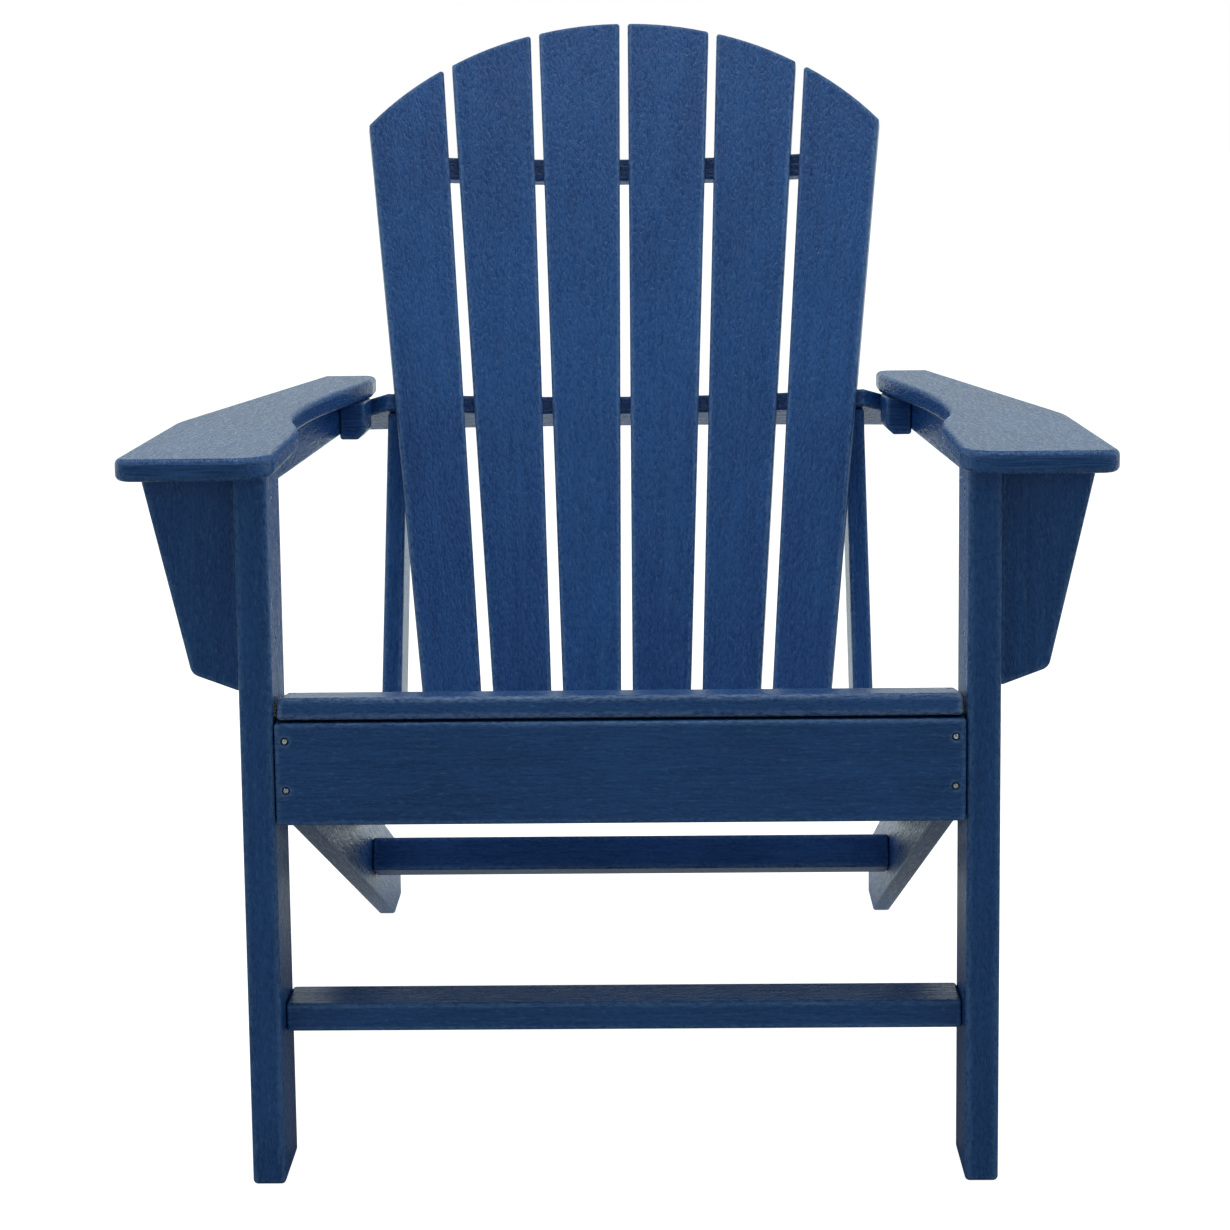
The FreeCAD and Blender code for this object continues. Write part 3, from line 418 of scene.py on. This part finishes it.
BACK_SLATS = 6
LEAN = math.radians(25)
FAN = 0.0359
FAINT_GRAIN = 0.2
UP_THE_BACK = Vector((0, math.sin(LEAN), math.cos(LEAN)))
for number in range(1, BACK_SLATS + 1):
    splay = math.atan(FAN * (number - (BACK_SLATS + 1) / 2))
    up_the_slat = UP_THE_BACK * math.cos(splay) + X * math.sin(splay)
    finish_board("back_slat_%d" % number, up_the_slat, X, FAINT_GRAIN)

# --------------------------------------------------- braces and uprights behind the back
# A thin curved strip joins the slats near their tops. A waisted board at arm height and a plain
# one under the seat carry them lower down, and two boards on edge stand between these.

for node in ("upper_back_brace", "arm_back_brace", "lower_back_brace"):
    finish_board(node, X, Y)
for word in SIDES:
    finish_board("back_upright_" + word, UP_THE_BACK, Y, MUCH_GRAIN)
for node in ("upper_brace_screws", "arm_brace_screws", "lower_brace_screws", "upright_screws",
             "lower_brace_end_screws", "arm_end_screws"):
    drive_screws(node)

# ------------------------------------------------------------------- studio
# A pale seamless floor in a white cove. Both are seen at full white but light the chair more
# dimly, mostly from behind it. Two soft lamps hang high over its front corners, and a long one
# right above picks out the rounded edges. The near side of the room is dim.

FLOOR_REACH = 30.0
FLOOR_LEVEL = -0.0004
FLOOR_PALE = (0.92, 0.92, 0.92, 1)
FLOOR_DIM = (0.42, 0.42, 0.42, 1)
FLOOR_GLOW = 0.95
WHITE = (1, 1, 1, 1)
COVE_STARTS = 1.1
COVE_FOOT = 0.9
COVE_BRIGHT = 1.0
COVE_GLOW = 0.82
COVE_TINT = (0.93, 1.04, 1.0, 1)
ROOM_DIM = 0.50
CEILING_DIM = 0.12

for spare in [thing for thing in bpy.data.objects if thing.name in ("Cube", "Light", "Camera")]:
    bpy.data.objects.remove(spare)
scene = bpy.context.scene
scene.view_settings.view_transform = "Standard"
scene.view_settings.look = "None"

corners = [(-1, -1), (1, -1), (1, 1), (-1, 1)]
floor_mesh = bpy.data.meshes.new("floor")
spots = [(x * FLOOR_REACH, y * FLOOR_REACH, FLOOR_LEVEL) for x, y in corners]
floor_mesh.from_pydata(spots, [], [(0, 1, 2, 3)])
floor = bpy.data.objects.new("floor", floor_mesh)
scene.collection.objects.link(floor)
floor_paint, tree = blank_material("floor_paint")
floor_mesh.materials.append(floor_paint)
seen = wire(tree, "ShaderNodeLightPath").outputs["Is Camera Ray"]
ground = wire(tree, "ShaderNodeSeparateXYZ", Vector=wire(tree, "ShaderNodeNewGeometry").outputs["Position"])
rear = fade(tree, ground.outputs["Y"], 0.0, COVE_STARTS, 0.0, COVE_FOOT)
dim = wire(tree, "ShaderNodeBsdfDiffuse", Color=FLOOR_DIM).outputs[0]
cove_foot = wire(tree, "ShaderNodeEmission", Color=COVE_TINT, Strength=rear).outputs[0]
matt = wire(tree, "ShaderNodeAddShader", i0=dim, i1=cove_foot).outputs[0]
pale = wire(tree, "ShaderNodeBsdfDiffuse", Color=FLOOR_PALE).outputs[0]
glow = wire(tree, "ShaderNodeEmission", Color=WHITE, Strength=FLOOR_GLOW).outputs[0]
lit = wire(tree, "ShaderNodeAddShader", i0=pale, i1=glow).outputs[0]
both = wire(tree, "ShaderNodeMixShader", i0=seen, i1=matt, i2=lit).outputs[0]
wire(tree, "ShaderNodeOutputMaterial", Surface=both)

world = bpy.data.worlds.new("studio")
scene.world = world
world.use_nodes = True
tree = world.node_tree
tree.nodes.clear()
toward = wire(tree, "ShaderNodeSeparateXYZ", Vector=wire(tree, "ShaderNodeTexCoord").outputs["Generated"])
behind = fade(tree, toward.outputs["Y"], -0.25, 0.30)
low_down = fade(tree, toward.outputs["Z"], 0.25, 0.60, 1.0, 0.0)
overhead = fade(tree, toward.outputs["Z"], 0.05, 0.60, ROOM_DIM, CEILING_DIM)
room = blend(tree, product(tree, behind, low_down), overhead, COVE_GLOW)
seen = wire(tree, "ShaderNodeLightPath").outputs["Is Camera Ray"]
sky = wire(tree, "ShaderNodeBackground", Color=dye(tree, seen, COVE_TINT, WHITE),
           Strength=blend(tree, seen, room, COVE_BRIGHT))
wire(tree, "ShaderNodeOutputWorld", Surface=sky.outputs[0])


def soft_lamp(name, place, aim, wide, high, power):
    lamp = bpy.data.lights.new(name, "AREA")
    lamp.shape = "RECTANGLE"
    lamp.size = wide
    lamp.size_y = high
    lamp.energy = power
    holder = bpy.data.objects.new(name, lamp)
    holder.location = place
    holder.rotation_mode = "QUATERNION"
    holder.rotation_quaternion = (Vector(aim) - Vector(place)).to_track_quat("-Z", "Y")
    scene.collection.objects.link(holder)


SEAT_MIDDLE = (0, 0, 0.5)
SIDE_LAMP, SIDE_POWER = 1.6, 10
soft_lamp("lamp_left", (-2.29, -1.07, 2.77), SEAT_MIDDLE, SIDE_LAMP, SIDE_LAMP, SIDE_POWER)
soft_lamp("lamp_right", (2.29, -1.07, 2.77), SEAT_MIDDLE, SIDE_LAMP, SIDE_LAMP, SIDE_POWER)
soft_lamp("lamp_over", (0, -0.3, 2.9), (0, -0.3, 0.5), 2.8, 0.6, 18)

# ------------------------------------------------------------------- the view
# A long lens in front of the chair, a little to its right, at the height of a standing eye.

EYE = Vector((0.03834, -2.57001, 0.88633))
FACING = 0.0181
LOOKING_DOWN = 0.1356
TILT = 0.0119
LENS = 81.655
SHIFT = -0.12

ahead = Vector((-math.sin(FACING), math.cos(FACING), 0))
right = Vector((math.cos(FACING), math.sin(FACING), 0))
forward = ahead * math.cos(LOOKING_DOWN) - Z * math.sin(LOOKING_DOWN)
down = forward.cross(right)
tilted_right = right * math.cos(TILT) + down * math.sin(TILT)
tilted_up = right * math.sin(TILT) - down * math.cos(TILT)
lens = bpy.data.cameras.new("view")
lens.lens = LENS
lens.shift_y = SHIFT
camera = bpy.data.objects.new("view", lens)
stance = Matrix((tilted_right, tilted_up, -forward)).transposed().to_4x4()
camera.matrix_world = Matrix.Translation(EYE) @ stance
scene.collection.objects.link(camera)
scene.camera = camera
